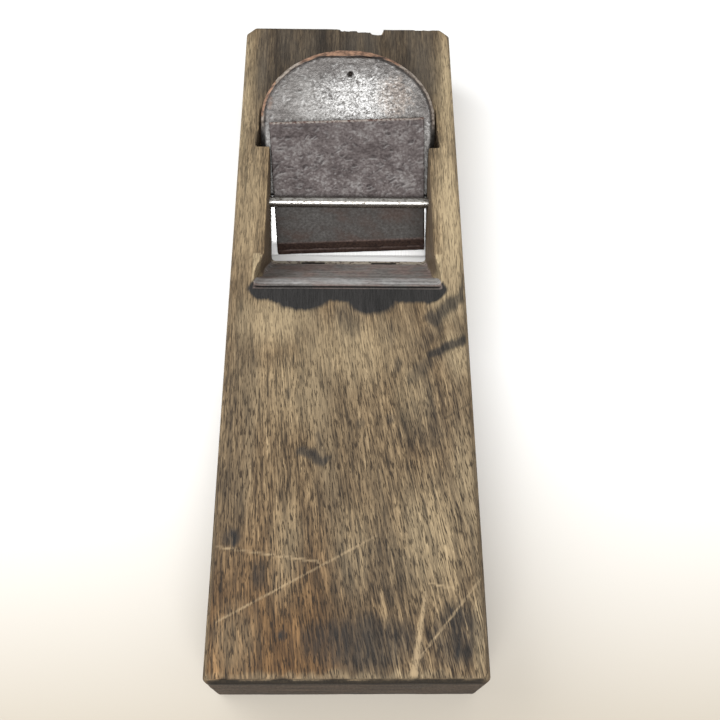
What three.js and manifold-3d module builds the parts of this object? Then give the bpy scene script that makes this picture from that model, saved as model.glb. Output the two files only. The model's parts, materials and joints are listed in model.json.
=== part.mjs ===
// A Japanese pull plane (kanna): an oak block, a laminated blade wedged into the block's side
// grooves, a chipbreaker lying on the blade, and a steel pin across the throat that holds it.
// Millimetres. +Z is up from the sole, +Y runs towards the blade head, +X is to the right when
// looking along +Y. The origin is the centre of the block's footprint, on the sole.
import * as THREE from 'three';
import { ConvexGeometry } from 'three/addons/geometries/ConvexGeometry.js';
import { mergeVertices } from 'three/addons/utils/BufferGeometryUtils.js';
import Module from 'manifold-3d';

// ---- driving dimensions ----
const BLOCK = { width: 80, length: 246, height: 30, arris: 1.2, farCorner: 3.5, nearCorner: 1.2 };
const BED_SLOPE = 0.8; // rise over run of the blade's front face
const MOUTH_Y = 33; // where the plane of the blade's front face meets the sole
const RUNNING_GAP = 0.3; // between pieces that touch or slide
const OVERCUT = 4; // how far a cutter runs past the face that it opens
const SAME_POINT = 1e-4; // corners this close are one corner

// The throat that the shavings come up through.
const THROAT = { left: -28.6, right: 29.6, frontTopY: 4 };
const LIP = { y: 32.5, edgeZ: 0.7, ledgeY: 30.9, ledgeZ: 1.6 }; // the small ledge at the mouth
const FLARE = { startY: 15, endY: 8.5, halfWidth: 31.5, lowZ: 3, highZ: 24 };
const CHEEK_END_Y = 63.3; // the cheeks over the blade's edges stop here
const HEAD_RECESS = { cheekHalf: 33.9, headHalf: 32.9, headY: 72 };

// The blade, along its front face (s, from the sole) and square to it (n, up and forwards).
const BLADE = {
  edgeS: 1.2, headS: 77, archS: 52, edgeHalf: 31.6, headHalf: 32.5,
  edgeThick: 4.6, headThick: 7.6, bevel: THREE.MathUtils.degToRad(28), rim: 1.8,
};
const STEEL = { endS: 22, endSlopeS: 25, thick: 1.1, weldGap: 0.04 };

// The chipbreaker, along its own length (a) and across it (c), turned by its skew on the blade.
const BREAKER = {
  s: 3.4, x: 1.45, skew: THREE.MathUtils.degToRad(2.3), length: 48.6, edgeHalf: 27.8, topHalf: 28.4,
  thick: 3, tip: 0.5, bevelLength: 4.2, lift: 1.1, earLength: 6, earWidth: 5,
  steelLength: 13, steelThick: 1, steelSlope: 2,
};
const PIN = { s: 22.3, radius: 2, sides: 24, left: -37, right: 39.6, clearance: 0.15 };

// ---- solids ----
const wasm = await Module();
wasm.setup();

function toSolid(geometry) {
  const bare = geometry.clone();
  bare.deleteAttribute('normal');
  bare.deleteAttribute('uv');
  const merged = mergeVertices(bare, SAME_POINT);
  return new wasm.Manifold(new wasm.Mesh({
    numProp: 3,
    vertProperties: new Float32Array(merged.attributes.position.array),
    triVerts: new Uint32Array(merged.index.array),
  }));
}

function toGeometry(solid) {
  const { vertProperties, triVerts } = solid.getMesh();
  const geometry = new THREE.BufferGeometry();
  geometry.setAttribute('position', new THREE.BufferAttribute(new Float32Array(vertProperties), 3));
  geometry.setIndex(new THREE.BufferAttribute(new Uint32Array(triVerts), 1));
  geometry.computeVertexNormals();
  return geometry;
}

// A point of the blade's own frame (s along the front face, n square to it) as [y, z].
const run = Math.hypot(1, BED_SLOPE);
const ALONG = { y: 1 / run, z: BED_SLOPE / run };
const atBlade = (s, n) => [MOUTH_Y + s * ALONG.y - n * ALONG.z, s * ALONG.z + n * ALONG.y];

// A profile of [y, z] points, run from left to right along X.
function alongX(profile, left, right) {
  const shape = new THREE.Shape(profile.map(([y, z]) => new THREE.Vector2(y, z)));
  const geometry = new THREE.ExtrudeGeometry(shape, { depth: right - left, bevelEnabled: false });
  const turn = new THREE.Matrix4().set(0, 0, 1, left, 1, 0, 0, 0, 0, 1, 0, 0, 0, 0, 0, 1);
  return geometry.applyMatrix4(turn);
}

const prismX = (profile, left, right) => toSolid(alongX(profile, left, right));

// A prism with a profile of [x, y] points, standing from low to high along Z.
function prismZ(profile, low, high) {
  const shape = new THREE.Shape(profile.map(([x, y]) => new THREE.Vector2(x, y)));
  const geometry = new THREE.ExtrudeGeometry(shape, { depth: high - low, bevelEnabled: false });
  return toSolid(geometry.translate(0, 0, low));
}

// Lays a geometry made in (x, s, n) onto the blade's front face.
function layOnBlade(geometry) {
  const [originY, originZ] = atBlade(0, 0);
  const lay = new THREE.Matrix4().set(
    1, 0, 0, 0,
    0, ALONG.y, -ALONG.z, originY,
    0, ALONG.z, ALONG.y, originZ,
    0, 0, 0, 1,
  );
  return geometry.applyMatrix4(lay);
}

const bladeThick = (s) => BLADE.edgeThick + (BLADE.headThick - BLADE.edgeThick) * (s / BLADE.headS);

function mesh(name, geometry, color, roughness, metalness) {
  const piece = new THREE.Mesh(geometry, new THREE.MeshStandardMaterial({ color, roughness, metalness }));
  piece.name = name;
  return piece;
}

// ---- block ----
// The bed follows the blade's back, and its grooves hold the blade's edges under the cheeks.
const bedBack = (s) => -bladeThick(s) - RUNNING_GAP;
const BED_LOW_S = -1;
const BED_HIGH_S = 100;

function rawBlock() {
  const { width, length, height, arris, farCorner, nearCorner } = BLOCK;
  const [w, l] = [width / 2, length / 2];
  const outline = new THREE.Shape([
    [-w, -l + nearCorner], [-w + nearCorner, -l], [w - nearCorner, -l], [w, -l + nearCorner],
    [w, l - farCorner], [w - farCorner, l], [-w + farCorner, l], [-w, l - farCorner],
  ].map(([x, y]) => new THREE.Vector2(x, y)));
  const geometry = new THREE.ExtrudeGeometry(outline, {
    depth: height - 2 * arris, bevelEnabled: true, bevelSegments: 1,
    bevelSize: arris, bevelOffset: -arris, bevelThickness: arris,
  });
  return toSolid(geometry.translate(0, 0, arris));
}

function throatCut() {
  const top = BLOCK.height + OVERCUT;
  const frontSlope = (BLOCK.height - LIP.ledgeZ) / (THROAT.frontTopY - LIP.ledgeY);
  return prismX([
    [LIP.y, -OVERCUT], atBlade(BED_LOW_S, bedBack(BED_LOW_S)),
    atBlade(BED_HIGH_S, bedBack(BED_HIGH_S)),
    [THROAT.frontTopY + OVERCUT / frontSlope, top], [LIP.ledgeY, LIP.ledgeZ], [LIP.y, LIP.edgeZ],
  ], THROAT.left, THROAT.right);
}

function grooveCut() {
  const half = BLADE.headHalf + RUNNING_GAP;
  return prismX([
    atBlade(BED_LOW_S, RUNNING_GAP), atBlade(BED_LOW_S, bedBack(BED_LOW_S)),
    atBlade(BED_HIGH_S, bedBack(BED_HIGH_S)), atBlade(BED_HIGH_S, RUNNING_GAP),
  ], -half, half);
}

function headRecessCut() {
  const { cheekHalf, headHalf, headY } = HEAD_RECESS;
  const plan = prismZ([
    [-cheekHalf, CHEEK_END_Y], [cheekHalf, CHEEK_END_Y], [headHalf, headY],
    [headHalf, headY + BLOCK.height], [-headHalf, headY + BLOCK.height], [-headHalf, headY],
  ], 0, BLOCK.height + OVERCUT);
  const aboveBed = prismX([
    atBlade(BED_LOW_S, bedBack(BED_LOW_S)), atBlade(BED_HIGH_S, bedBack(BED_HIGH_S)),
    [CHEEK_END_Y - BLOCK.length, BLOCK.height * 2], [CHEEK_END_Y - BLOCK.length, 0],
  ], -cheekHalf, cheekHalf);
  return plan.intersect(aboveBed);
}

// The front wall widens towards the top: a wedge is cut out of each cheek beside it.
function flareCut(wall, side) {
  const wallY = (z) => THREE.MathUtils.mapLinear(
    z, LIP.ledgeZ, BLOCK.height, LIP.ledgeY, THROAT.frontTopY);
  const inside = wall - side;
  const outside = side * FLARE.halfWidth;
  const top = BLOCK.height + OVERCUT;
  return toSolid(new ConvexGeometry([
    [inside, wallY(FLARE.lowZ), FLARE.lowZ], [wall, wallY(FLARE.lowZ), FLARE.lowZ],
    [inside, FLARE.startY, top], [wall, FLARE.startY, top],
    [outside, wallY(FLARE.highZ), FLARE.highZ], [outside, FLARE.endY, top],
    [inside, wallY(top), top], [outside, wallY(top), top],
  ].map(([x, y, z]) => new THREE.Vector3(x, y, z))));
}

function rod(radius, left, right, y, z) {
  const geometry = new THREE.CylinderGeometry(radius, radius, right - left, PIN.sides);
  return geometry.rotateZ(-Math.PI / 2).translate((left + right) / 2, y, z);
}

const breakerTopN = RUNNING_GAP + BREAKER.thick + BREAKER.lift * (PIN.s - BREAKER.s) / BREAKER.length;
const [pinY, pinZ] = atBlade(PIN.s, breakerTopN + RUNNING_GAP + PIN.radius);
const pinHole = rod(PIN.radius + PIN.clearance, PIN.left - RUNNING_GAP, BLOCK.width, pinY, pinZ);

const blockSolid = [
  throatCut(), grooveCut(), headRecessCut(), flareCut(THROAT.left, -1), flareCut(THROAT.right, 1),
  toSolid(pinHole),
].reduce((solid, cutter) => solid.subtract(cutter), rawBlock());
const block = mesh('block', toGeometry(blockSolid), 0xa98a62, 0.75, 0);

// ---- chipbreaker pin ----
const pin = mesh('chipbreaker_pin', rod(PIN.radius, PIN.left, PIN.right, pinY, pinZ), 0x8d8a84, 0.3, 1);

// ---- blade ----
// Front outline in (x, s): straight tapering sides with an arched head, run on past the edge.
function bladeOutline() {
  const shape = new THREE.Shape();
  const past = -OVERCUT;
  shape.moveTo(-BLADE.edgeHalf, past);
  shape.lineTo(BLADE.edgeHalf, past);
  shape.lineTo(BLADE.headHalf, BLADE.archS);
  shape.absellipse(0, BLADE.archS, BLADE.headHalf, BLADE.headS - BLADE.archS, 0, Math.PI, false, 0);
  return shape;
}

function bladeSlab() {
  const { rim, headThick } = BLADE;
  const geometry = new THREE.ExtrudeGeometry(bladeOutline(), {
    depth: headThick - rim, curveSegments: 12, bevelEnabled: true, bevelSegments: 1,
    bevelSize: rim, bevelOffset: -rim, bevelThickness: rim,
  });
  return toSolid(layOnBlade(geometry.translate(0, 0, -headThick)));
}

// The wedge between the front face, the back and the ground bevel.
function bladeWedge() {
  const bevelRise = Math.tan(BLADE.bevel);
  const taper = (BLADE.headThick - BLADE.edgeThick) / BLADE.headS;
  const heelS = (BLADE.edgeThick + bevelRise * BLADE.edgeS) / (bevelRise - taper);
  return prismX([
    atBlade(BLADE.edgeS, 0), atBlade(heelS, -bladeThick(heelS)),
    atBlade(BED_HIGH_S, -bladeThick(BED_HIGH_S)), atBlade(BED_HIGH_S, 0),
  ], -BLADE.headHalf, BLADE.headHalf);
}

function steelZone(grow) {
  return prismX([
    atBlade(-OVERCUT, OVERCUT), atBlade(-OVERCUT, -STEEL.thick - grow),
    atBlade(STEEL.endS + grow, -STEEL.thick - grow), atBlade(STEEL.endSlopeS + grow, 0),
    atBlade(STEEL.endSlopeS + grow, OVERCUT),
  ], -BLADE.headHalf - OVERCUT, BLADE.headHalf + OVERCUT);
}

const wholeBlade = bladeSlab().intersect(bladeWedge());
const ironSolid = wholeBlade.subtract(steelZone(STEEL.weldGap));
const bladeIron = mesh('blade_iron_body', toGeometry(ironSolid), 0x7d7977, 0.5, 1);
const steelSolid = wholeBlade.intersect(steelZone(0));
const bladeSteel = mesh('blade_steel_face', toGeometry(steelSolid), 0xd8d8d6, 0.2, 1);

// ---- chipbreaker ----
// Its edge rests on the blade, and two ears bent down at the top corners lift its far end.
// Its pieces are made square at the origin, then skewed and laid on the blade's front face.
function placeBreaker(geometry) {
  return layOnBlade(geometry.rotateZ(BREAKER.skew).translate(BREAKER.x, BREAKER.s, RUNNING_GAP));
}

const breakerPrism = (profile, left, right) => toSolid(placeBreaker(alongX(profile, left, right)));
const breakerUnder = (a) => BREAKER.lift * (a / BREAKER.length);

function breakerPlan() {
  const { length, thick, edgeHalf, topHalf } = BREAKER;
  const outline = new THREE.Shape([
    [-edgeHalf, 0], [edgeHalf, 0], [topHalf, length], [-topHalf, length],
  ].map(([c, a]) => new THREE.Vector2(c, a)));
  const tall = new THREE.ExtrudeGeometry(outline, { depth: thick + 2 * OVERCUT, bevelEnabled: false });
  return toSolid(placeBreaker(tall.translate(0, 0, -OVERCUT)));
}

function breakerSolid() {
  const { length, thick, tip, bevelLength, topHalf, earLength, earWidth } = BREAKER;
  const over = (a) => breakerUnder(a) + thick;
  const middle = (a) => breakerUnder(a) + thick / 2;
  const earStart = length - earLength;
  const plate = breakerPrism([
    [0, 0], [length, breakerUnder(length)], [length, over(length)], [bevelLength, over(bevelLength)],
    [0, tip],
  ], -topHalf, topHalf);
  const ears = [-topHalf, topHalf - earWidth].map((left) => breakerPrism([
    [earStart, breakerUnder(earStart)], [length, 0], [length, middle(length)],
    [earStart, middle(earStart)],
  ], left, left + earWidth));
  return ears.reduce((solid, ear) => solid.add(ear), plate).intersect(breakerPlan());
}

function breakerSteelZone(grow) {
  const { steelLength, steelThick, steelSlope, topHalf } = BREAKER;
  const top = breakerUnder(steelLength) + steelThick;
  return breakerPrism([
    [-OVERCUT, -OVERCUT], [steelLength + grow, -OVERCUT], [steelLength + grow, top / 2],
    [steelLength - steelSlope, top + grow], [-OVERCUT, top + grow],
  ], -topHalf - OVERCUT, topHalf + OVERCUT);
}

const wholeBreaker = breakerSolid();
const breakerIron = mesh('chipbreaker_iron_body',
  toGeometry(wholeBreaker.subtract(breakerSteelZone(STEEL.weldGap))), 0x5f5654, 0.55, 1);
const breakerSteel = mesh('chipbreaker_steel_edge',
  toGeometry(wholeBreaker.intersect(breakerSteelZone(0))), 0x6a625e, 0.4, 1);

// ---- assembly ----
const blade = new THREE.Group();
blade.add(bladeIron, bladeSteel);
const chipbreaker = new THREE.Group();
chipbreaker.add(breakerIron, breakerSteel);
const plane = new THREE.Group();
plane.add(block, pin, blade, chipbreaker);

export default plane;
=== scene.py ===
import json
import math
from itertools import product

import bmesh
import bpy
import numpy as np
from mathutils import Matrix, Vector


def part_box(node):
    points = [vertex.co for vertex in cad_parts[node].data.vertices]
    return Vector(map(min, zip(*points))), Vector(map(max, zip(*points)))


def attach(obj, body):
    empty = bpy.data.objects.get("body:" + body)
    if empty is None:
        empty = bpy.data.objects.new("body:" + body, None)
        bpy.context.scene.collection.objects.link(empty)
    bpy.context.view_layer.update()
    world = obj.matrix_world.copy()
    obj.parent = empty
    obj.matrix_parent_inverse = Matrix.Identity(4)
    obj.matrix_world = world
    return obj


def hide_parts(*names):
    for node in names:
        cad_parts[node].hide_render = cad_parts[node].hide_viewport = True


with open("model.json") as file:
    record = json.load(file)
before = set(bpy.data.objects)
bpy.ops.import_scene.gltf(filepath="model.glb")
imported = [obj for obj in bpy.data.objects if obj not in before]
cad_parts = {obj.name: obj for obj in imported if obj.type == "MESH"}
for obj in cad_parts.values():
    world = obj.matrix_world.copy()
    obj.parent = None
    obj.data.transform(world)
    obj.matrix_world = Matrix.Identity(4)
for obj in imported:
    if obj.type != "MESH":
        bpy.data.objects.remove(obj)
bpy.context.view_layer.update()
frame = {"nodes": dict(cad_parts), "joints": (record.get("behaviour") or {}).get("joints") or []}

MM = 0.001

# ---- places, worked out from the frame ----


def box_mm(node):
    low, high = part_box(node)
    return np.array(low) / MM, np.array(high) / MM


BLOCK_LOW, BLOCK_HIGH = box_mm("block")
PIN_LOW, PIN_HIGH = box_mm("chipbreaker_pin")
BLADE_LOW, BLADE_HIGH = box_mm("blade_iron_body")
BREAKER_LOW, BREAKER_HIGH = box_mm("chipbreaker_iron_body")
SLIDE = next(j for j in frame["joints"] if j["name"] == "blade_slide")["axis"]
ALONG = np.array(SLIDE) / np.linalg.norm(SLIDE)  # up the bed
OUT = np.array([0.0, -ALONG[2], ALONG[1]])  # square to the blade's front face
MOUTH = np.array([0.0, 33.0, 0.0])  # where the blade's front face meets the sole
TOP = BLOCK_HIGH[2]
FAR = BLOCK_HIGH[1]
NEAR = BLOCK_LOW[1]
HALF = BLOCK_HIGH[0]

# The throat's sloped front wall, with its foot and its top as y, z.
WALL_LOW = np.array([30.9, 1.6])
WALL_TOP = np.array([4.0, TOP])
WALL_OUT = np.array([0, 0.69, 0.72])  # the way in which its worn, rounded part swells
WALL_THICK = 1.1  # how near its plane a point counts as part of it
FLARE_Y = (8.5, 15.0)  # the wall narrows from its flared top between these
WALL_HALF = (31.7, 29.8)  # half its width there
CREASE_Y = 3.9  # the crease where it meets the top face, painted near-black as shade
RUBBED_HIGHLIGHT_Y = (4.8, 13.5)  # the worn, rounded part that is painted bright as a highlight
LEDGE_Y = 29.4  # where the pale ledge above the mouth begins
LEDGE_NOTCH_SHADES = ((-13, 4.5), (14, 4.7))  # where the shade of two shallow notches in the ledge is painted dark: middle and half width
THROAT_FAR = 90  # past the far end of the bed

# Sizes of the faces that the meshes are made of.
BLOCK_FACE = 0.6
BLADE_FACE = 0.4
PLATE_FACE = 0.35
EDGE_FACE = 0.3


# ---- numbers on points ----


def scrambled(cells, seed):
    """A number from 0 to 1 for each grid cell, as if random, but always the same."""
    mixed = cells[:, 0] * 73856093 ^ cells[:, 1] * 19349663 ^ cells[:, 2] * 83492791 ^ seed * 29
    mixed = ((mixed ^ (mixed >> 13)) * 1274126177) & 0xFFFFFFFF
    mixed = ((mixed ^ (mixed >> 15)) * 2246822519) & 0xFFFFFFFF
    return ((mixed ^ (mixed >> 16)) & 0xFFFF) / 65535


def noise(points, size, seed=0, octaves=3):
    """Smooth value noise from -1 to 1 at points, with features of that size along each axis."""
    at = points / np.asarray(size, float) + seed * np.array([17.13, 31.71, 11.37])
    total = np.zeros(len(points))
    weight = 0.0
    for octave in range(octaves):
        cell = np.floor(at).astype(np.int64)
        inside = at - cell
        inside = inside * inside * (3 - 2 * inside)
        value = np.zeros(len(points))
        for corner in product((0, 1), repeat=3):
            share = np.prod(np.where(corner, inside, 1 - inside), axis=1)
            value += scrambled(cell + np.array(corner), seed + octave) * share
        total += (2 * value - 1) * 0.5**octave
        weight += 0.5**octave
        at = at * 2.03
    return total / weight


def frayed(points, size, reach, seeds):
    """The points moved about at random, so that a mark placed by them has a ragged edge."""
    return points + np.stack([noise(points, size, s) * reach for s in seeds], axis=1)


def smooth(low, high, value):
    """0 below low, 1 above high, and a soft step between them. low may be the greater."""
    t = np.clip((value - low) / (high - low), 0, 1)
    return t * t * (3 - 2 * t)


def to_line(points, start, end):
    """The distance from a line in plan, and how far along it each point lies, from 0 to 1."""
    start, end = np.array(start, float), np.array(end, float)
    span = end - start
    t = np.clip(((points[:, :2] - start) @ span) / (span @ span), 0, 1)
    return np.linalg.norm(points[:, :2] - start - t[:, None] * span, axis=1), t


def blob(points, centre, radii, soft=0.5):
    """A soft-edged ellipse in plan, 1 inside it and 0 outside."""
    r = np.hypot((points[:, 0] - centre[0]) / radii[0], (points[:, 1] - centre[1]) / radii[1])
    return smooth(1 + soft, 1 - soft, r)


def plane_off(points, at, normal, bumps=0.0):
    """Cuts away what stands past a plane, as a chip or a worn face does."""
    normal = np.array(normal, float) / np.linalg.norm(normal)
    over = np.clip((points - np.array(at, float)) @ normal + bumps, 0, None)
    return points - over[:, None] * normal


def on_blade(points):
    """Each point's place on the blade: across it, along it from the sole, and out from its face."""
    away = points - MOUTH
    return away[:, 0], away @ ALONG, away @ OUT


# ---- meshes ----


def coords(mesh):
    found = np.empty(len(mesh.vertices) * 3)
    mesh.vertices.foreach_get("co", found)
    return found.reshape(-1, 3) / MM


def normals(mesh):
    found = np.empty(len(mesh.vertices) * 3)
    mesh.vertices.foreach_get("normal", found)
    return found.reshape(-1, 3)


def set_coords(mesh, points, low, high):
    """Moves the mesh's points, and keeps them inside the box of the CAD node that it replaces."""
    mesh.vertices.foreach_set("co", (np.clip(points, low, high) * MM).ravel())
    mesh.update()


def paint(mesh, painted):
    """Keeps named numbers for each point, from 0 to 1, for the material to read."""
    for name, values in painted.items():
        layer = mesh.attributes.new(name, "FLOAT", "POINT")
        layer.data.foreach_set("value", np.clip(values, 0, 1).astype(np.float32))


def paint_places(mesh, name, places):
    """Keeps a place in mm for each point, for a pattern to follow."""
    layer = mesh.attributes.new(name, "FLOAT_VECTOR", "POINT")
    layer.data.foreach_set("vector", places.astype(np.float32).ravel())


def applied(piece):
    """Puts the modifiers' result into the piece's own mesh."""
    graph = bpy.context.evaluated_depsgraph_get()
    mesh = bpy.data.meshes.new_from_object(piece.evaluated_get(graph))
    piece.modifiers.clear()
    piece.data = mesh
    mesh.name = piece.name


def new_piece(name, shape):
    """Puts a bmesh into the scene as an object of that name."""
    mesh = bpy.data.meshes.new(name)
    shape.to_mesh(mesh)
    shape.free()
    piece = bpy.data.objects.new(name, mesh)
    bpy.context.collection.objects.link(piece)
    return piece


def even_copy(node, name, face):
    """A dense, even mesh of a CAD node's shape, ready to be worn."""
    shape = bmesh.new()
    shape.from_mesh(frame["nodes"][node].data)
    bmesh.ops.remove_doubles(shape, verts=shape.verts, dist=1e-6)
    piece = new_piece(name, shape)
    remesh = piece.modifiers.new("even", "REMESH")
    remesh.mode = "VOXEL"
    remesh.voxel_size = face * 1 * MM
    applied(piece)
    return piece


def dress(piece, material, node, body):
    piece.data.materials.clear()
    piece.data.materials.append(material)
    piece.data.polygons.foreach_set("use_smooth", np.ones(len(piece.data.polygons), bool))
    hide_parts(node)
    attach(piece, body)


# ---- material building ----


class Shader:
    """A material's node tree, with short calls for the nodes used here."""

    def __init__(self, name):
        self.material = bpy.data.materials.new(name)
        self.material.use_nodes = True
        self.tree = self.material.node_tree
        self.tree.nodes.clear()
        self.output = self.tree.nodes.new("ShaderNodeOutputMaterial")
        self.surface = self.tree.nodes.new("ShaderNodeBsdfPrincipled")
        self.tree.links.new(self.surface.outputs[0], self.output.inputs["Surface"])
        self.place = self.tree.nodes.new("ShaderNodeTexCoord").outputs["Object"]

    def put(self, socket, value):
        if isinstance(value, bpy.types.NodeSocket):
            self.tree.links.new(value, socket)
        else:
            socket.default_value = value

    def painted(self, name, output="Fac"):
        """What paint kept for each point, or with output "Vector" what paint_places kept."""
        node = self.tree.nodes.new("ShaderNodeAttribute")
        node.attribute_name = name
        return node.outputs[output]

    def scaled(self, size_mm, places=None):
        """Coordinates in which one unit is size_mm along each axis."""
        node = self.tree.nodes.new("ShaderNodeMapping")
        node.vector_type = "POINT"
        self.put(node.inputs["Vector"], places or self.place)
        unit = 1 if places else MM
        node.inputs["Scale"].default_value = [1 / (s * unit) for s in size_mm]
        return node.outputs[0]

    def noise(self, size_mm, detail, roughness, distortion=0.0, places=None):
        """Noise with features of that size along each axis."""
        node = self.tree.nodes.new("ShaderNodeTexNoise")
        self.put(node.inputs["Vector"], self.scaled(size_mm, places))
        node.inputs["Scale"].default_value = 1.0
        node.inputs["Detail"].default_value = detail
        node.inputs["Roughness"].default_value = roughness
        node.inputs["Distortion"].default_value = distortion
        return node.outputs["Fac"]

    def ramp(self, value, stops):
        """A colour or grey ramp. Each stop is a place and a grey number or an (r, g, b) colour."""
        node = self.tree.nodes.new("ShaderNodeValToRGB")
        self.put(node.inputs["Fac"], value)
        elements = node.color_ramp.elements
        for i, (at, colour) in enumerate(stops):
            element = elements[i] if i < 2 else elements.new(at)
            element.position = at
            rgb = (colour,) * 3 if isinstance(colour, (int, float)) else colour
            element.color = (*rgb, 1)
        return node.outputs["Color"]

    def math(self, operation, a, b=0.0, clamp=False):
        node = self.tree.nodes.new("ShaderNodeMath")
        node.operation = operation
        node.use_clamp = clamp
        self.put(node.inputs[0], a)
        self.put(node.inputs[1], b)
        return node.outputs[0]

    def times(self, value, factor):
        return self.math("MULTIPLY", value, factor)

    def sum(self, a, share_a, b, share_b):
        """Two values added, each times its share."""
        return self.math("ADD", self.times(a, share_a), self.times(b, share_b))

    def mix(self, fac, a, b, blend="MIX"):
        node = self.tree.nodes.new("ShaderNodeMix")
        node.data_type = "RGBA"
        node.blend_type = blend
        self.put(node.inputs["Factor"], fac)
        for socket, value in ((node.inputs[6], a), (node.inputs[7], b)):
            self.put(socket, value if isinstance(value, bpy.types.NodeSocket) else (*value, 1))
        return node.outputs[2]

    def over(self, colour, name, top, strength=1.0):
        """Lays another colour on top where the points are painted with that name."""
        return self.mix(self.times(self.painted(name), strength), colour, top)

    def bump(self, height, strength, distance_mm, below=None):
        node = self.tree.nodes.new("ShaderNodeBump")
        node.inputs["Strength"].default_value = strength
        node.inputs["Distance"].default_value = distance_mm * MM
        self.put(node.inputs["Height"], height)
        if below:
            self.put(node.inputs["Normal"], below)
        return node.outputs["Normal"]

    def finish(self, colour, roughness, metallic=0.0, normal=None, **sockets):
        self.put(self.surface.inputs["Base Color"], colour)
        self.put(self.surface.inputs["Roughness"], roughness)
        self.put(self.surface.inputs["Metallic"], metallic)
        if normal:
            self.put(self.surface.inputs["Normal"], normal)
        for name, value in sockets.items():
            self.put(self.surface.inputs[name], value)
        return self.material


# ---- the oak block ----

# Marks on the top face, as x, y. A scratch has its two ends, its width and its depth.
LIGHT_SCRATCHES = [
    ((-38.5, -85.0), (-8.0, -89.5), 0.55, 0.16),
    ((9.0, -81.5), (-37.0, -106.5), 0.5, 0.14),
    ((39.5, -93.5), (20.5, -116.0), 0.55, 0.14),
    ((23.0, -95.5), (32.0, -97.5), 0.5, 0.12),
]
GOUGE = ((22.5, -98.0), (18.5, -120.5), 0.6, 2.0, 0.5)  # ends, width at each end, depth
DARK_SCRATCHES = [
    ((30.0, -44.5), (39.0, -39.0), 0.6, 0.2),
    ((39.5, -39.5), (35.5, -53.0), 0.7, 0.25),
    ((37.0, -60.0), (39.0, -59.0), 0.7, 0.2),
    ((20.0, -46.5), (21.0, -53.0), 0.4, 0.15),
]
SMEARS = [  # ends, half width, strength
    ((28.0, -9.0), (41.0, 3.0), 2.8, 0.75),
    ((25.0, -17.0), (30.0, -9.0), 3.0, 0.4),
    ((28.0, -21.5), (41.0, -14.5), 1.8, 0.8),
    ((21.0, -30.0), (30.0, -21.0), 2.6, 0.45),
    ((-14.5, -55.0), (-7.0, -58.2), 1.7, 0.75),
    ((-9.5, -50.0), (-8.0, -57.0), 1.6, 0.4),
]
BLOTCHES = [  # centre, radii, strength
    ((-34.6, -82.0), (2.6, 3.4), 0.95),
    ((-26.0, -93.0), (2.3, 4.2), 0.8),
    ((-26.5, -102.0), (1.5, 7.0), 0.45),
    ((13.6, -44.6), (1.5, 2.0), 0.8),
    ((14.5, -50.0), (2.0, 5.0), 0.35),
    ((4.0, -45.5), (0.9, 1.8), 0.6),
    ((16.0, -25.5), (1.4, 3.0), 0.6),
    ((-18.4, -109.5), (1.5, 1.9), 0.95),
    ((-19.5, -36.0), (1.2, 2.2), 0.5),
    ((-19.0, -25.0), (2.2, 4.0), 0.3),
    ((1.0, -9.0), (6.0, 8.0), 0.5),
    ((14.0, -14.0), (2.6, 6.0), 0.4),
    ((29.0, -36.0), (7.0, 5.0), 0.35),
    ((24.0, -47.0), (11.0, 10.0), 0.45),
    ((22.0, -63.0), (16.0, 14.0), 0.28),
    ((8.0, -92.0), (16.0, 12.0), 0.5),
    ((4.0, -112.0), (18.0, 8.0), 0.85),
    ((31.0, -110.0), (7.5, 9.5), 0.9),
    ((33.0, -98.0), (5.0, 5.0), 0.3),
    ((-28.0, -112.0), (4.0, 8.0), 0.25),
    ((-38.0, -42.0), (3.0, 16.0), 0.35),
    ((-6.0, -72.0), (9.0, 9.0), 0.2),
]
OIL_LOBES = [((-15, 0), (10, 5.0)), ((8, 0), (9, 7.0))]
LIGHTER = [  # centre, radii, strength
    ((36.0, 35.0), (4.5, 34.0), 1.0),
    ((-34.5, 38.0), (4.5, 24.0), 0.5),
    ((38.0, 90.0), (4.5, 28.0), 1.0),
    ((-38.0, 84.0), (3.8, 30.0), 0.35),
    ((34.0, 0.0), (6.0, 9.0), 0.6),
    ((36.0, -22.0), (4.0, 8.0), 0.6),
    ((-24.0, -9.0), (11.0, 9.0), 0.6),
    ((2.0, -20.0), (16.0, 12.0), 0.4),
    ((-18.0, -34.0), (12.0, 12.0), 0.3),
    ((20.0, -36.0), (5.0, 12.0), 0.35),
    ((26.0, -82.0), (10.0, 16.0), 0.5),
    ((2.0, -86.0), (5.0, 12.0), 0.4),
    ((-18.0, -86.0), (4.0, 14.0), 0.35),
    ((-32.0, -112.0), (6.0, 9.0), 0.3),
    ((37.5, -108.0), (2.0, 12.0), 0.5),
    ((0.0, -121.5), (38.0, 1.3), 0.45),
    ((36.0, -66.0), (4.0, 16.0), 0.35),
]
FAR_CHIPS = [  # places along the far top edge: x, half width, depth
    (-6.0, 4.5, 1.3),
    (0.5, 5.0, 2.0),
    (6.5, 4.5, 2.4),
    (11.5, 3.0, 3.4),
    (-22.0, 9.0, 0.3),
    (22.0, 6.0, 0.9),
    (30.0, 6.0, 1.3),
    (-37.0, 3.0, 1.2),
]
DIRT_AND_SHADE_LINES = [  # what each is painted as, its strength and its colour
    ("edge", 0.35, (0.075, 0.055, 0.038)),
    ("near_line", 0.9, (0.012, 0.010, 0.008)),
    # the crease's near-black is painted shade
    ("crease", 1.0, (0.006, 0.005, 0.005)),
    ("dark_line", 0.85, (0.030, 0.024, 0.018)),
]


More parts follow.
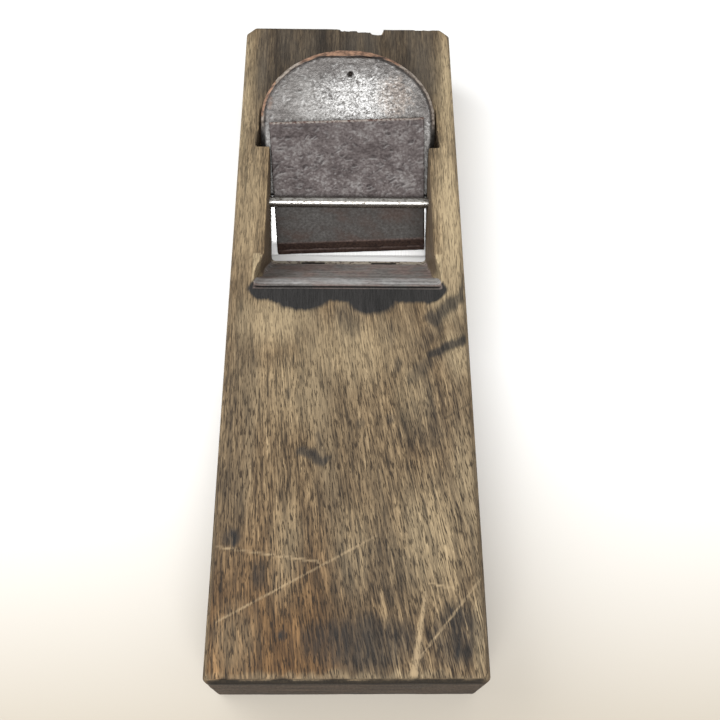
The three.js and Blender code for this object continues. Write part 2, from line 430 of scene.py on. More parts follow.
def rounded_block(points):
    """Rounds the block's outer edges, by a radius that grows where hands and mallets wear it.

    Also says how near a rounded edge each point is."""
    centre = (BLOCK_LOW + BLOCK_HIGH) / 2
    half = (BLOCK_HIGH - BLOCK_LOW) / 2
    x, y, z = points.T
    radius = 1.3 - 0.4 * smooth(FAR - 26, FAR, y) + 0.4 * noise(points, (14, 14, 14), 3)
    radius += 1.2 * smooth(FAR - 8, FAR, y) * smooth(HALF - 10, HALF, np.abs(x))
    radius += 0.5 * smooth(NEAR + 8, NEAR, y) * smooth(TOP - 8, TOP, z)
    radius = np.clip(radius, 0.6, None)
    near_edge = np.abs(points - centre) - (half - radius[:, None])
    outward = np.clip(near_edge, 0, None)
    reach = np.linalg.norm(outward, axis=1)
    over = np.clip(reach - radius, 0, None)
    edge = (outward > 0).sum(axis=1) > 1
    step = np.where(edge, over / np.maximum(reach, 1e-9), 0)[:, None] * outward
    return points - step * np.sign(points - centre), smooth(-0.6, 0.5, reach - radius) * edge


def chipped(points):
    """Splits bits out of the hammered far edge and its right corner, and says where it did."""
    fresh = np.zeros(len(points))
    for x, half_width, depth in FAR_CHIPS:
        rough = 0.9 * noise(points, (1.5, 2.5, 1.5), int(x) % 11)
        inside = smooth(1, 0.6, np.abs(points[:, 0] - x) / half_width + 0.25 * rough)
        cut = inside * (depth + 0.5 * rough)
        before = points
        points = plane_off(points, (0, FAR, TOP), (0, 0.9, 0.75), cut - 0.25)
        deep = depth > 2
        fresh = np.maximum(fresh, np.linalg.norm(points - before, axis=1) * deep)
    before = points
    corner = 1.2 * noise(points, (3, 3, 3), 8)
    points = plane_off(points, (HALF, FAR - 3, TOP), (1, 0.55, 0.85), corner - 1.3)
    return points, np.maximum(fresh, np.linalg.norm(points - before, axis=1))


def scored(points, on_top):
    """Presses the scratches and the gouge into the top face, and says where they are light or dark."""
    light = np.zeros(len(points))
    dark = np.zeros(len(points))
    drop = np.zeros(len(points))
    for marks, mask in ((LIGHT_SCRATCHES, light), (DARK_SCRATCHES, dark)):
        for start, end, width, depth in marks:
            away, t = to_line(points, start, end)
            broken = 0.55 + 0.6 * noise(points, (3, 3, 50), 5)
            groove = smooth(1, 0, away / width) * smooth(0, 0.08, t + 0.03) * broken
            np.maximum(mask, groove, out=mask)
            drop += depth * groove
    start, end, narrow, wide, depth = GOUGE
    away, t = to_line(points, start, end)
    groove = smooth(1, 0.2, away / (narrow + (wide - narrow) * t**1.6))
    light = np.maximum(light, groove * (0.75 + 0.25 * noise(points, (1, 4, 9), 6)))
    drop += depth * groove
    points = points.copy()
    points[:, 2] -= drop * on_top
    return points, light * on_top, dark * on_top


def top_marks(points):
    """The smears and blotches on the top, with edges drawn out along the grain."""
    ragged = frayed(points, (2.2, 7, 9), 1.6, (11, 12, 13))
    uneven = 0.8 + 0.35 * noise(points, (0.7, 5, 5), 21, 2)
    dark = np.zeros(len(points))
    for start, end, half_width, strength in SMEARS:
        away, _ = to_line(ragged, start, end)
        dark = np.maximum(dark, strength * smooth(1.5, 0.4, away / half_width))
    for centre, radii, strength in BLOTCHES:
        dark = np.maximum(dark, strength * blob(ragged, centre, radii) * uneven)
    return dark


def oil_pool(points):
    """The oil wiped off in front of the throat, which ends in lobes."""
    x, y, z = points.T
    fringe = 1.7 * noise(points, (4.5, 60, 60), 31) + 0.8 * noise(points, (0.7, 60, 60), 32, 2)
    ends = np.abs(x) + 0.12 * np.clip(4 - y, 0, 9) ** 2
    pool = smooth(-3.6, -1.4, y + fringe) * smooth(35.0, 33.0, ends)
    for centre, radii in OIL_LOBES:
        pool = np.maximum(pool, blob(points + fringe[:, None] * (0.3, 0.8, 0), centre, radii, 0.25))
    return pool * smooth(8.5, 5.5, y + 1.6 * np.clip(np.abs(x) - 31.5, 0, 9))


def block_stain(points, on_top):
    """How dark each point of the wood is: oil, soot and stains, darker towards the near end and a
    little towards the far end, and on the sides darker towards the bottom.
    """
    y, z = points[:, 1], points[:, 2]
    darker_by_y = 0.03 + 0.30 * smooth(-10, -110, y) * (0.7 + 0.5 * noise(points, (12, 40, 20), 33, 2))
    darker_by_y += 0.10 * smooth(30, 60, y)
    smudge = 0.30 * smooth(-0.1, 0.7, noise(points, (9, 45, 9), 37))
    # the sides are darker towards the bottom
    low = 0.25 * smooth(7, 0, z + 2 * noise(points, (5, 20, 5), 38))
    top = np.maximum.reduce([top_marks(points), oil_pool(points), darker_by_y])
    return np.where(on_top > 0, top, darker_by_y * 0.6 + smudge + low)


def dark_far_end(points):
    """How dark the hammered far end is painted."""
    x, y, z = points.T
    sides = smooth(37.5, 32.5, np.abs(x) + 1.5 * noise(points, (4, 14, 9), 14))
    far_dark = smooth(74, 98, y + 4 * noise(points, (5, 12, 9), 15)) * sides
    far_dark *= 0.85 + 0.3 * noise(points, (5, 25, 25), 16)
    far_dark *= 1 - 0.45 * smooth(0.1, 0.6, noise(points, (5, 40, 20), 17)) * smooth(0, 8, x)
    return np.clip(far_dark, 0, 1)


def block_pale(points):
    """Where the wood is worn clean and light, and the throat's flares, painted lighter against the
    shade that falls on them.
    """
    x, y, z = points.T
    ragged = frayed(points, (2.5, 9, 9), 2.2, (17, 18, 19))
    pale = np.zeros(len(points))
    for centre, radii, strength in LIGHTER:
        pale = np.maximum(pale, strength * blob(ragged, centre, radii, 0.7))
    rim = smooth(HALF - 5, HALF - 1.5, np.abs(x)) * smooth(5, 50, y) * smooth(FAR, FAR - 14, y)
    rim *= 0.45 + 0.5 * noise(points, (3, 10, 9), 20)
    # the throat's flares: worn, and painted lighter against the shade that falls on these faces
    flare = (y > 5.5) * (y < 16.5) * (np.abs(x) > 28.8) * (np.abs(x) < 32.5) * (z > 6)
    return np.maximum.reduce([pale, rim, flare])


def inside_throat(points):
    """1 on the walls of the throat and the bed, below the top face, and less on the flares."""
    x, y, z = points.T
    inside = (np.abs(x) < HALF - 5) & (y > WALL_TOP[0] - 1) & (y < THROAT_FAR)
    inside &= (z < TOP - 0.5) & (z > 0.3)
    flare = smooth(17, 14, y) * smooth(5, 12, z)
    return inside * (1 - 0.8 * flare)


def front_wall(points):
    """1 on the throat's sloped front wall."""
    x, y, z = points.T
    slope = WALL_TOP - WALL_LOW
    normal = np.array([slope[1], -slope[0]]) / np.hypot(*slope)
    away = (np.stack([y, z], axis=1) - WALL_LOW) @ normal
    half = np.interp(y, FLARE_Y, WALL_HALF)
    ends = (y < MOUTH[1] + 0.5) * (y > CREASE_Y - 1) * (z > 0.6)
    return (np.abs(away) < WALL_THICK) * (np.abs(x) < half) * ends


def wall_marks(points, wall):
    """The front wall's worn, rounded part with its painted highlight, and its pale ledge with the
    painted shade of two notches.
    """
    x, y, z = points.T
    wander = y + 1.3 * noise(points, (9, 60, 60), 35)
    # where the painted highlight lies along the worn, rounded top of the front wall
    rubbed_highlight = smooth(RUBBED_HIGHLIGHT_Y[1], RUBBED_HIGHLIGHT_Y[1] - 3.5, wander) * wall
    rubbed_highlight *= smooth(RUBBED_HIGHLIGHT_Y[0], RUBBED_HIGHLIGHT_Y[0] + 1.4, y)
    ledge = smooth(LEDGE_Y, LEDGE_Y + 0.8, y) * wall
    # two shallow notches in the ledge, whose shade is painted near-black
    notch_shades = np.zeros(len(points), bool)
    for middle, half in LEDGE_NOTCH_SHADES:
        notch_shades |= np.abs(x - middle) < half
    return {
        "rubbed_highlight": rubbed_highlight * (0.75 + 0.5 * noise(points, (6, 2, 60), 36)),
        "ledge": ledge,
        "notch_shade": ledge * notch_shades * smooth(LEDGE_Y + 2.4, LEDGE_Y + 1.8, y),
    }


def near_line(points):
    """The dirt held along the near end's worn top edge."""
    x, y, z = points.T
    down = TOP - z + 0.5 * noise(points, (4, 2, 2), 34)
    band = smooth(0.1, 0.4, down) * smooth(4.2, 2.8, down)
    return band * smooth(NEAR + 2.4, NEAR + 1.4, y) * smooth(HALF - 0.5, HALF - 3, np.abs(x))


def fibres(points, on_top):
    """Each point's place along and across the grain, which leans right near the top's near end."""
    x, y, z = points.T
    lean = 0.17 * smooth(-70, 40, x) * np.clip(-4 - y, 0, None) * on_top
    lean += 1.3 * noise(points, (26, 70, 60), 91, 2)
    return np.stack([x - lean, y, z], axis=1)


def worn_block(points, facing, on_top, wall):
    """Moves the block's points to its worn shape, and gives the marks that this leaves."""
    points, edge = rounded_block(points)
    points, fresh_chip = chipped(points)
    points, light, dark = scored(points, on_top)
    # a worn hollow beside the blade's head, and a surface raised along the grain
    points[:, 2] -= 0.9 * blob(points, (-36.5, 66), (3.0, 9.0)) * on_top
    points += facing * (0.07 * noise(points, (6, 30, 6), 41) - 0.07)[:, None]
    # the front wall's worn, rounded upper part, with a crease above it, whose near-black is painted
    # shade
    x, y, z = points.T
    across = smooth(WALL_HALF[0] + 0.2, WALL_HALF[0] - 0.4, np.abs(x))
    crease = smooth(0.95, 0.35, np.abs(y - CREASE_Y)) * smooth(TOP - 2, TOP - 0.6, z) * across
    points = points - np.array([0, 0, 1]) * (0.45 * crease)[:, None]
    swell = smooth(16, 10, y) * smooth(4.6, 8, y) * wall
    points = points + WALL_OUT * (0.45 * swell)[:, None]
    fresh = np.maximum(light, np.clip(fresh_chip, 0, 1))
    return points, {"edge": edge, "crease": crease, "fresh": fresh, "dark_line": dark}


def build_block():
    piece = even_copy("block", "block_oak", BLOCK_FACE)
    mesh = piece.data
    points, facing = coords(mesh), normals(mesh)
    on_top = ((facing[:, 2] > 0.9) & (points[:, 2] > TOP - 1)).astype(float)
    wall = front_wall(points)
    ends = smooth(0.6, 0.95, np.abs(facing[:, 1])) * (np.abs(points[:, 1]) > FAR - 8)
    paint(mesh, {"wall": wall, "throat": inside_throat(points), "end_grain": ends})

    points, marks = worn_block(points, facing, on_top, wall)
    set_coords(mesh, points, BLOCK_LOW, BLOCK_HIGH)
    x, y, z = points.T
    paint(mesh, marks)
    paint(mesh, wall_marks(points, wall))
    paint(mesh, {
        "stain": block_stain(points, on_top),
        "far_dark": dark_far_end(points),
        "pored": 0.40 + 0.45 * np.maximum(smooth(0, -50, y), 0.6 * (1 - on_top)),
        "open": 1 - 0.75 * smooth(60, 95, y),
        "pale": block_pale(points),
        "near_line": near_line(points),
        "warm": smooth(-60, -115, y) * smooth(14, -12, x) * on_top,
    })
    paint_places(mesh, "fibre", fibres(points, on_top))
    dress(piece, oak(), "block", "block")


def oak():
    s = Shader("worn_oak")
    grain = s.painted("fibre", "Vector")
    broad = s.noise((8, 60, 8), 2, 0.5, places=grain)
    bands = s.noise((1.4, 26, 1.4), 4, 0.62, 0.3, grain)
    streaks = s.noise((0.42, 7, 0.42), 3, 0.7, places=grain)
    tone = s.sum(bands, 0.45, streaks, 0.55)
    flecks = s.noise((0.36, 3.4, 0.36), 2, 0.55, places=grain)
    pores = s.ramp(flecks, [(0.37, 1.0), (0.45, 0.0)])

    wood = clean_oak(s, grain, tone, broad, pores)
    wood = s.over(wood, "end_grain", end_rings(s))
    walls = s.mix(bands, (0.060, 0.042, 0.027), (0.22, 0.160, 0.105))
    wood = s.over(wood, "throat", walls, 0.85)
    dirt = dirt_along(s, tone)
    wood = oiled(s, wood, dirt, tone, broad)
    wood = s.over(wood, "wall", front_grain(s))
    for name, strength, colour in DIRT_AND_SHADE_LINES:
        wood = s.over(wood, name, colour, strength)
    bared = s.math("SUBTRACT", s.painted("fresh"), s.times(pores, 0.25))
    wood = s.mix(s.math("MULTIPLY", bared, 0.85, True), wood, (0.42, 0.315, 0.19))
    relief = s.math("SUBTRACT", tone, s.times(pores, 0.5))
    rough = s.ramp(dirt, [(0.2, 0.72), (0.9, 0.5)])
    return s.finish(wood, rough, 0.0, s.bump(relief, 0.7, 0.35), **{"Specular IOR Level": 0.18})


def clean_oak(s, grain, tone, broad, pores):
    """Oak before the dirt: its grain, its grey patches, its places worn clean and the flares painted
    lighter against their shade, cracks and pores.
    """
    wood = s.ramp(tone, [
        (0.36, (0.048, 0.031, 0.017)), (0.46, (0.125, 0.084, 0.046)),
        (0.55, (0.225, 0.158, 0.088)), (0.66, (0.39, 0.285, 0.165)),
    ])
    wood = s.mix(s.ramp(broad, [(0.40, 0.0), (0.66, 0.5)]), wood, (0.115, 0.092, 0.062))
    wood = s.mix(s.painted("warm"), wood, (0.80, 0.62, 0.46), "MULTIPLY")
    wood = s.over(wood, "pale", s.mix(tone, (0.17, 0.125, 0.070), (0.60, 0.475, 0.295)))
    lines = s.noise((0.30, 9, 0.30), 2, 0.6, places=grain)
    cracks = s.ramp(lines, [(0.38, 1.0), (0.45, 0.0)])
    wood = s.mix(s.times(cracks, 0.45), wood, (0.045, 0.032, 0.021))
    return s.mix(s.times(pores, s.painted("pored")), wood, (0.026, 0.018, 0.012))


def end_rings(s):
    """End grain: growth rings that lie across the block, greyed by dirt."""
    rings = s.noise((26, 60, 0.8), 4, 0.6)
    rays = s.noise((0.8, 60, 2.2), 3, 0.6)
    tone = s.sum(rings, 0.7, rays, 0.3)
    return s.ramp(tone, [(0.40, (0.010, 0.0075, 0.006)), (0.57, (0.094, 0.069, 0.052))])


def dirt_along(s, tone):
    """How dark the wood is made, with the edges of the stains broken up along the grain."""
    uneven = s.times(s.math("SUBTRACT", tone, 0.5), 2.0)
    gap = s.times(s.math("SUBTRACT", 1.15, s.painted("stain")), s.painted("open"))
    return s.math("SUBTRACT", s.painted("stain"), s.times(uneven, gap))


def oiled(s, wood, dirt, tone, broad):
    """Lays the soot and the dark far end over the wood."""
    dark, light = (0.014, 0.0135, 0.013), (0.029, 0.0275, 0.0265)
    soot = s.mix(s.ramp(tone, [(0.38, 0.0), (0.62, 1.0)]), dark, light)
    wood = s.mix(s.ramp(dirt, [(0.10, 0.0), (0.90, 1.0)]), wood, soot)
    far_dark = s.ramp(s.sum(broad, 0.5, tone, 0.5), [
        (0.40, (0.024, 0.021, 0.018)), (0.60, (0.066, 0.058, 0.049)),
    ])
    return s.over(wood, "far_dark", far_dark, 0.88)


def front_grain(s):
    """The oiled end grain of the throat's front wall, with a painted highlight along its worn, rounded
    top.
    """
    lines = s.noise((24, 2.2, 0.62), 4, 0.62)
    mottle = s.noise((1.6, 1.6, 1.6), 3, 0.6)
    patches = s.noise((9, 9, 9), 2, 0.5)
    tone = s.sum(lines, 0.65, mottle, 0.35)
    dark = s.ramp(tone, [(0.38, (0.125, 0.112, 0.103)), (0.60, (0.31, 0.288, 0.270))])
    pinker = s.ramp(tone, [(0.38, (0.145, 0.107, 0.095)), (0.60, (0.33, 0.262, 0.235))])
    dark = s.mix(s.ramp(patches, [(0.42, 0.0), (0.58, 1.0)]), dark, pinker)
    bright = s.ramp(tone, [(0.38, (0.22, 0.215, 0.21)), (0.60, (0.54, 0.535, 0.53))])
    beige = s.ramp(mottle, [(0.42, (0.16, 0.13, 0.10)), (0.5, (0.46, 0.40, 0.32))])
    # painted highlight: the worn, rounded top is painted bright
    face = s.over(dark, "rubbed_highlight", bright)
    face = s.over(face, "ledge", beige)
    # painted shade of the two notches in the ledge
    return s.over(face, "notch_shade", (0.012, 0.009, 0.007))


# ---- the blade ----

# Where the strokes fall on the blade's head, as two corners: each is across it and along it.
HEAD_AREA = ((-32, 50), (32, 77))
GRAIN_AREA = ((-14, 52), (24, 68))
PUNCH = (0.8, 68.2)  # the middle of the punched pit
CROWN = 74.4  # where the rusty crown begins, along the blade
HONED_REFLECTION = 9  # how far up from the sole the honed steel face is painted diffuse white, as a painted reflection


def struck(across, along, count, area, length, width, tilt, seed):
    """Short strokes scattered over a face: how deep in a stroke, and how near one's raised lip."""
    random = np.random.default_rng(seed)
    low, high = np.array(area)
    inside = np.zeros(len(across))
    lip = np.zeros(len(across))
    for _ in range(count):
        x, y = random.uniform(low, high)
        long, wide = random.uniform(*length) / 2, random.uniform(*width) / 2
        turn = math.radians(random.normal(tilt[0], tilt[1]))
        strength = random.uniform(0.4, 1)
        u = (across - x) * math.cos(turn) + (along - y) * math.sin(turn)
        v = (along - y) * math.cos(turn) - (across - x) * math.sin(turn)
        r = np.hypot(u / long, v / wide)
        inside = np.maximum(inside, strength * smooth(1.1, 0.4, r))
        below = np.hypot(u / (long * 1.1), (v + 1.5 * wide) / wide)
        lip = np.maximum(lip, strength * smooth(1.0, 0.5, below))
    return inside, lip * (1 - inside)


def head_rust(points, x, s, n, face, rim):
    """The rust on the head's crown and left side, and the painted shade along the join below the
    crown.
    """
    apex = smooth(66, 73, s + 1.5 * noise(points, (9, 3, 3), 63)) * smooth(24, 13, np.abs(x - 1))
    left = smooth(-24, -29, x + 1.5 * noise(points, (3, 4, 4), 66))
    left = left * smooth(50, 56, s) * smooth(70, 64, s)
    outer = smooth(-0.5, -0.9, n + 0.3 * noise(points, (6, 6, 6), 67)) * rim
    ragged = s + 0.6 * noise(points, (7, 2, 2), 68)
    crown = smooth(CROWN, CROWN + 0.5, ragged) * smooth(19, 15, np.abs(x - 1))
    # a line of painted shade along the join below the crown
    seam_shade = smooth(0.55, 0.2, np.abs(ragged - CROWN + 0.2)) * smooth(15, 11, np.abs(x - 1))
    rust = np.maximum(outer * np.maximum(apex, left), 0.3 * left * face)
    rust = np.maximum(rust, crown * np.maximum(face, rim))
    return {"outer": outer, "rust": rust, "seam_shade": seam_shade * face}


def build_blade_iron():
    piece = even_copy("blade_iron_body", "blade_iron", BLADE_FACE)
    mesh = piece.data
    points, facing = coords(mesh), normals(mesh)
    x, s, n = on_blade(points)
    head = smooth(46, 52, s)
    rim = smooth(0.97, 0.85, facing @ OUT) * head
    face = (facing @ OUT > 0.5) * head
    dent, lip = struck(x, s, 150, HEAD_AREA, (0.9, 2.6), (0.7, 1.3), (0, 60), 64)
    grain, glint = struck(x, s, 420, GRAIN_AREA, (0.6, 1.3), (0.5, 0.8), (0, 60), 65)
    punched = smooth(1.1, 0.5, np.hypot(x - PUNCH[0], s - PUNCH[1])) * face
    worn = 0.10 * (1 - noise(points, (3.2,) * 3, 61)) + 0.07 * dent + 0.04 * grain
    points = points - facing * (worn * head)[:, None]
    points += facing * ((0.16 * noise(points, (5, 5, 5), 62) - 0.16) * rim)[:, None]
    points = points - OUT * (0.7 * punched)[:, None]
    set_coords(mesh, points, BLADE_LOW, BLADE_HIGH)

    glow = smooth(20, 5, np.hypot(x - 4, (s - 60) * 1.2))
    dull = np.maximum(smooth(64, 73, s), 0.8 * smooth(15, 27, np.abs(x - 3)))
    paint(mesh, {
        "rim": rim,
        "glow": glow * face,
        "dull": dull * face,
        "tan": smooth(11, 3, np.hypot(x - 17, (s - 60) * 0.9)) * face,
        "glint": np.maximum(lip * 0.8, glint) * face * (0.35 + 0.65 * glow),
        "dent": np.maximum(dent, 0.8 * grain) * face,
        "pit": punched,
    })
    paint(mesh, head_rust(points, x, s, n, face, rim))
    dress(piece, blade_iron(), "blade_iron_body", "blade")


def build_blade_steel():
    piece = even_copy("blade_steel_face", "blade_steel", BLADE_FACE)
    along = on_blade(coords(piece.data))[1]
    # the honed strip near the sole, where a white reflection is painted
    paint(piece.data, {"honed_reflection": smooth(HONED_REFLECTION, HONED_REFLECTION - 3, along)})
    dress(piece, blade_steel(), "blade_steel_face", "blade")


def blade_iron():
    s = Shader("hammered_iron")
    cloud = s.noise((9, 9, 9), 3, 0.55)
    mottle = s.noise((1.5, 1.3, 1.3), 3, 0.6)
    grit = s.noise((0.5, 0.45, 0.45), 3, 0.65)
    colour = head_iron(s, cloud, mottle, grit)
    # the rim's inner part is painted dark as the bevel's shade; its outer part is pale
    line = s.ramp(mottle, [(0.40, (0.016, 0.012, 0.011)), (0.62, (0.085, 0.066, 0.056))])
    pale = s.ramp(mottle, [(0.38, (0.11, 0.085, 0.065)), (0.62, (0.36, 0.31, 0.265))])
    colour = s.over(colour, "rim", s.over(line, "outer", pale))

    rusty = s.ramp(s.noise((2.2, 1.6, 1.6), 4, 0.6), [
        (0.38, (0.10, 0.056, 0.036)), (0.62, (0.33, 0.19, 0.12)),
    ])
    loose = s.times(s.math("SUBTRACT", cloud, 0.5), 0.8)
    rust = s.ramp(s.math("ADD", s.painted("rust"), loose), [(0.30, 0.0), (0.60, 1.0)])
    colour = s.mix(rust, colour, rusty)
    # the dark punched pit, and the painted shade below the crown, are laid on near-black
    hollow = s.math("MAXIMUM", s.painted("pit"), s.painted("seam_shade"))
    colour = s.mix(hollow, colour, (0.015, 0.011, 0.009))

    normal = s.bump(mottle, 0.5, 0.35, s.bump(grit, 0.3, 0.12))
    dry = s.math("MAXIMUM", rust, s.times(s.painted("rim"), 0.8))
    rough = s.mix(dry, s.ramp(grit, [(0.35, 0.50), (0.65, 0.34)]), (0.8, 0.8, 0.8))
    metal = s.math("SUBTRACT", 0.9, s.times(dry, 0.8))
    return s.finish(colour, rough, metal, normal)


def head_iron(s, cloud, mottle, grit):
    """The hammered face: bright in the middle, dull round it, with dents and glints."""
    iron = s.ramp(s.sum(cloud, 0.55, mottle, 0.45), [
        (0.36, (0.056, 0.052, 0.050)), (0.50, (0.120, 0.115, 0.110)), (0.64, (0.21, 0.206, 0.20)),
    ])
    lit = s.ramp(s.sum(mottle, 0.5, grit, 0.5), [
        (0.42, (0.070, 0.066, 0.063)), (0.58, (0.46, 0.46, 0.455)),
    ])
    colour = s.over(iron, "glow", lit, 0.55)
    colour = s.over(colour, "dull", (0.062, 0.056, 0.053), 0.65)
    golden = s.math("ADD", s.times(s.painted("tan"), 0.4), mottle)
    colour = s.mix(s.ramp(golden, [(0.66, 0.0), (0.95, 0.35)]), colour, (0.15, 0.105, 0.075))
    colour = s.over(colour, "dent", (0.042, 0.037, 0.036), 0.5)
    return s.over(colour, "glint", (0.60, 0.60, 0.59), 0.6)


def blade_steel():
    s = Shader("polished_steel")
    lines = s.noise((0.25, 40, 40), 2, 0.5)
    colour = s.ramp(lines, [(0.3, (0.86, 0.87, 0.87)), (0.7, (0.97, 0.98, 0.98))])
    rough = s.ramp(lines, [(0.3, 0.22), (0.7, 0.30)])
    # on the honed strip the steel is not metal but near-white: a painted reflection
    metal = s.math("SUBTRACT", 0.7, s.times(s.painted("honed_reflection"), 0.7))
    return s.finish(colour, rough, metal, s.bump(lines, 0.05, 0.05))


# ---- the chipbreaker ----

# Where the strokes fall on the chipbreaker's plate, as corners across and along the blade.
STROKE_AREA = ((-28, 24), (30, 52))
SPOT_AREA = ((-27, 25), (29, 36))
SPECK_AREA = ((-28, 24), (30, 42))
ROUGH_FROM = (19, 27)  # along the blade, where the smooth lower part turns into the pitted one
TOP_EDGE = 50.9  # the worn top edge, along the blade at the middle
TOP_TURN = 0.04  # how much further along it is for each mm to the right
BEVEL_TOP = 8.4  # the upper end of the ground bevel, in the same way
BEVEL_TURN = 0.045


def ground_bevel(x, s):
    return smooth(BEVEL_TOP, BEVEL_TOP - 0.8, s - BEVEL_TURN * x)


def build_breaker_plate():
    piece = even_copy("chipbreaker_iron_body", "chipbreaker_plate", PLATE_FACE)
    mesh = piece.data
    points, facing = coords(mesh), normals(mesh)
    x, s, n = on_blade(points)
    upper = smooth(*ROUGH_FROM, s)
    face = (facing @ OUT > 0.7) * upper
    bent_x = x + 0.5 * noise(points, (1.3, 1.3, 1.3), 74, 2)
    bent_s = s + 0.5 * noise(points, (1.3, 1.3, 1.3), 75, 2)
    dent, lip = struck(bent_x, bent_s, 120, STROKE_AREA, (1.0, 4.2), (0.5, 1.1), (14, 20), 72)
    spot, _ = struck(bent_x, bent_s, 26, SPOT_AREA, (1.4, 2.6), (1.2, 2.2), (0, 60), 76)
    speck, glint = struck(x, s, 160, SPECK_AREA, (0.5, 1.1), (0.4, 0.8), (0, 50), 73)
    worn = 0.05 * (1 + noise(points, (2.2, 2.2, 2.2), 71))
    worn = worn + 0.20 * dent * face + 0.06 * speck * face
    set_coords(mesh, points - facing * worn[:, None], BREAKER_LOW, BREAKER_HIGH)
    bright = np.maximum.reduce([0.45 * lip, 0.7 * glint * smooth(44, 30, s), 0.35 * spot])
    top_line = smooth(TOP_EDGE, TOP_EDGE + 0.5, s - TOP_TURN * x)
    paint(mesh, {
        "upper": upper,
        "dent": dent * face,
        "glint": bright * face,
        "top_line": top_line * (facing @ OUT > -0.3),
        "bevel": ground_bevel(x, s),
    })
    dress(piece, breaker_iron(), "chipbreaker_iron_body", "chipbreaker")


def build_breaker_edge():
    piece = even_copy("chipbreaker_steel_edge", "chipbreaker_edge", EDGE_FACE)
    x, s, n = on_blade(coords(piece.data))
    plain = np.zeros(len(s))
    paint(piece.data, dict.fromkeys(("upper", "dent", "glint", "top_line"), plain))
    paint(piece.data, {"bevel": ground_bevel(x, s)})
    dress(piece, breaker_iron(), "chipbreaker_steel_edge", "chipbreaker")


def breaker_iron():
    s = Shader("patinated_iron")
    cloud = s.noise((6, 5, 5), 4, 0.6)
    fine = s.noise((1.0, 0.8, 0.8), 3, 0.6)
    broad = s.noise((16, 9, 9), 3, 0.5)
    tone = s.sum(cloud, 0.6, fine, 0.4)
    purple = s.ramp(tone, [
        (0.38, (0.032, 0.023, 0.022)), (0.52, (0.068, 0.055, 0.053)), (0.64, (0.125, 0.114, 0.110)),
    ])
    smooth_part = s.ramp(s.sum(broad, 0.8, fine, 0.2), [
        (0.38, (0.030, 0.018, 0.013)), (0.50, (0.025, 0.021, 0.018)), (0.62, (0.034, 0.031, 0.028)),
    ])
    # the ground bevel: rust-brown, and painted darker as the reflection of the dark throat wall
    bevel = s.ramp(fine, [(0.3, (0.022, 0.012, 0.010)), (0.7, (0.075, 0.045, 0.035))])
    top_edge = s.ramp(fine, [(0.38, (0.06, 0.026, 0.020)), (0.56, (0.20, 0.175, 0.155))])
    colour = s.over(smooth_part, "upper", purple)
    colour = s.over(colour, "dent", (0.020, 0.014, 0.014), 0.75)
    colour = s.over(colour, "glint", (0.30, 0.29, 0.285), 0.6)
    colour = s.over(colour, "bevel", bevel)
    colour = s.over(colour, "top_line", top_edge)
    rise = s.math("ADD", s.times(s.painted("upper"), 0.8), 0.2)
    rough = s.ramp(fine, [(0.3, 0.62), (0.7, 0.48)])
    return s.finish(colour, rough, 0.5, s.bump(s.times(tone, rise), 0.5, 0.3))


# ---- the pin ----

PIN_SIDES = 40
PIN_RINGS = 90  # between its ends
PIN_BEVEL = (0.25, 0.3)  # at each end: how far along the pin, and how far in


def build_pin():
    centre = (PIN_LOW + PIN_HIGH) / 2
    radius = (PIN_HIGH[1] - PIN_LOW[1]) / 2
    left, right = PIN_LOW[0], PIN_HIGH[0]
    along, inward = PIN_BEVEL
    middle = np.linspace(left + 1, right - 1, PIN_RINGS)
    rings = [left, left + along, *middle, right - along, right]
    shape = bmesh.new()
    loops = []
    for i, x in enumerate(rings):
        r = radius - (inward if i in (0, len(rings) - 1) else 0.0)
        turns = [2 * math.pi * k / PIN_SIDES for k in range(PIN_SIDES)]
        ring = np.array([[x, centre[1] + r * math.cos(t), centre[2] + r * math.sin(t)] for t in turns])
        ring[:, 1:] += 0.012 * np.stack([noise(ring, (5, 2, 2), s) for s in (81, 82)], axis=1)
        ring = np.clip(ring, PIN_LOW, PIN_HIGH)
        loops.append([shape.verts.new(p * MM) for p in ring])
    for a, b in zip(loops, loops[1:]):
        for k in range(PIN_SIDES):
            after = (k + 1) % PIN_SIDES
            shape.faces.new((a[k], a[after], b[after], b[k]))
    shape.faces.new(loops[0][::-1])
    shape.faces.new(loops[-1])
    bmesh.ops.recalc_face_normals(shape, faces=shape.faces)
    dress(new_piece("pin_steel", shape), pin_steel(), "chipbreaker_pin", "block")


def pin_steel():
    s = Shader("rubbed_steel")
    spots = s.noise((1.5, 0.6, 0.6), 4, 0.65)
    colour = s.ramp(spots, [
        (0.36, (0.10, 0.085, 0.07)), (0.48, (0.40, 0.385, 0.36)), (0.7, (0.62, 0.61, 0.58)),
    ])
    rough = s.ramp(spots, [(0.34, 0.6), (0.5, 0.24), (0.8, 0.18)])
    return s.finish(colour, rough, 1.0, s.bump(spots, 0.15, 0.1))


# ---- floor, lights and camera ----

FLOOR_HALF = 3.0  # metres
CAMERA_AT = Vector((-1.6, -152.0, 290.6)) * MM
CAMERA_TURN = {"pitch": math.radians(63.80), "yaw": math.radians(2.51), "roll": math.radians(-2.50)}
FIELD = math.radians(43.735)  # the angle across a square picture


def build_floor():
    half = FLOOR_HALF
    corners = [(-half, -half, 0), (half, -half, 0), (half, half, 0), (-half, half, 0)]
    mesh = bpy.data.meshes.new("floor")
    mesh.from_pydata(corners, [], [(0, 1, 2, 3)])
    floor = bpy.data.objects.new("floor", mesh)
    bpy.context.collection.objects.link(floor)
    mesh.materials.append(pale_paper())


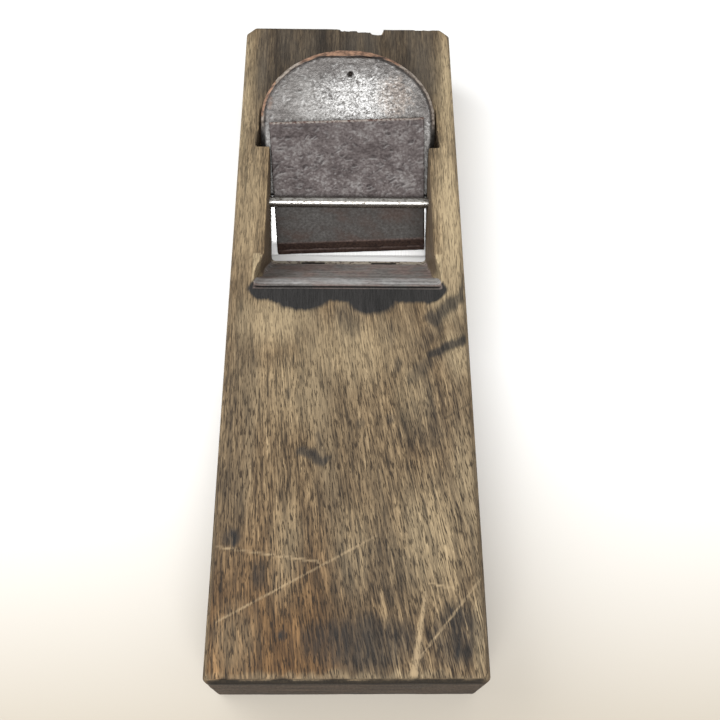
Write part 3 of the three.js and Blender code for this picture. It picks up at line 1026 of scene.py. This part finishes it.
def pale_paper():
    """White paper, darkened to beige towards the near side as painted shade."""
    s = Shader("pale_paper")
    tint = s.noise((160, 160, 160), 2, 0.4)
    paper = s.ramp(tint, [(0.3, (0.87, 0.87, 0.86)), (0.7, (0.90, 0.90, 0.895))])
    split = s.tree.nodes.new("ShaderNodeSeparateXYZ")
    s.put(split.inputs[0], s.scaled((1 / MM,) * 3))
    # painted shade: the paper darkens to beige towards the near side
    near = s.ramp(s.math("ADD", split.outputs["Y"], 0.5), [(0.36, 1.0), (0.49, 0.0)])
    return s.finish(s.mix(near, paper, (0.43, 0.385, 0.315)), 0.85)


def area_light(name, place, aim, size, power, colour=(1, 1, 1)):
    light = bpy.data.lights.new(name, "AREA")
    light.shape = "RECTANGLE"
    light.size, light.size_y = size
    light.energy = power
    light.color = colour
    lamp = bpy.data.objects.new(name, light)
    lamp.location = place
    lamp.rotation_euler = (Vector(aim) - Vector(place)).to_track_quat("-Z", "Y").to_euler()
    bpy.context.collection.objects.link(lamp)


def build_lights():
    world = bpy.data.worlds.new("studio")
    world.use_nodes = True
    sky = world.node_tree.nodes["Background"]
    sky.inputs["Color"].default_value = (1.0, 0.99, 0.975, 1)
    sky.inputs["Strength"].default_value = 0.66
    bpy.context.scene.world = world
    area_light("front_box", (0.0, -0.62, 0.66), (0, 0.03, 0), (0.7, 0.5), 8.0)
    area_light("window", (-0.75, 0.25, 0.75), (0, 0, 0), (0.8, 0.8), 6.5, (0.97, 0.985, 1.0))


def build_camera():
    pitch, yaw, roll = CAMERA_TURN["pitch"], CAMERA_TURN["yaw"], CAMERA_TURN["roll"]
    level = Vector((math.cos(yaw), -math.sin(yaw), 0))
    ahead = Vector((math.sin(yaw), math.cos(yaw), 0))
    forward = ahead * math.cos(pitch) - Vector((0, 0, math.sin(pitch)))
    down = forward.cross(level)
    right = math.cos(roll) * level + math.sin(roll) * down
    down = math.cos(roll) * down - math.sin(roll) * level
    lens = bpy.data.cameras.new("camera")
    lens.sensor_width = 36
    lens.lens_unit = "FOV"
    lens.angle = FIELD
    lens.clip_start = 0.01
    camera = bpy.data.objects.new("camera", lens)
    turn = Matrix((right, -down, -forward)).transposed().to_4x4()
    camera.matrix_world = Matrix.Translation(CAMERA_AT) @ turn
    bpy.context.collection.objects.link(camera)
    bpy.context.scene.camera = camera


build_block()
build_blade_iron()
build_blade_steel()
build_breaker_plate()
build_breaker_edge()
build_pin()
build_floor()
build_lights()
build_camera()
bpy.context.scene.view_settings.view_transform = "Standard"
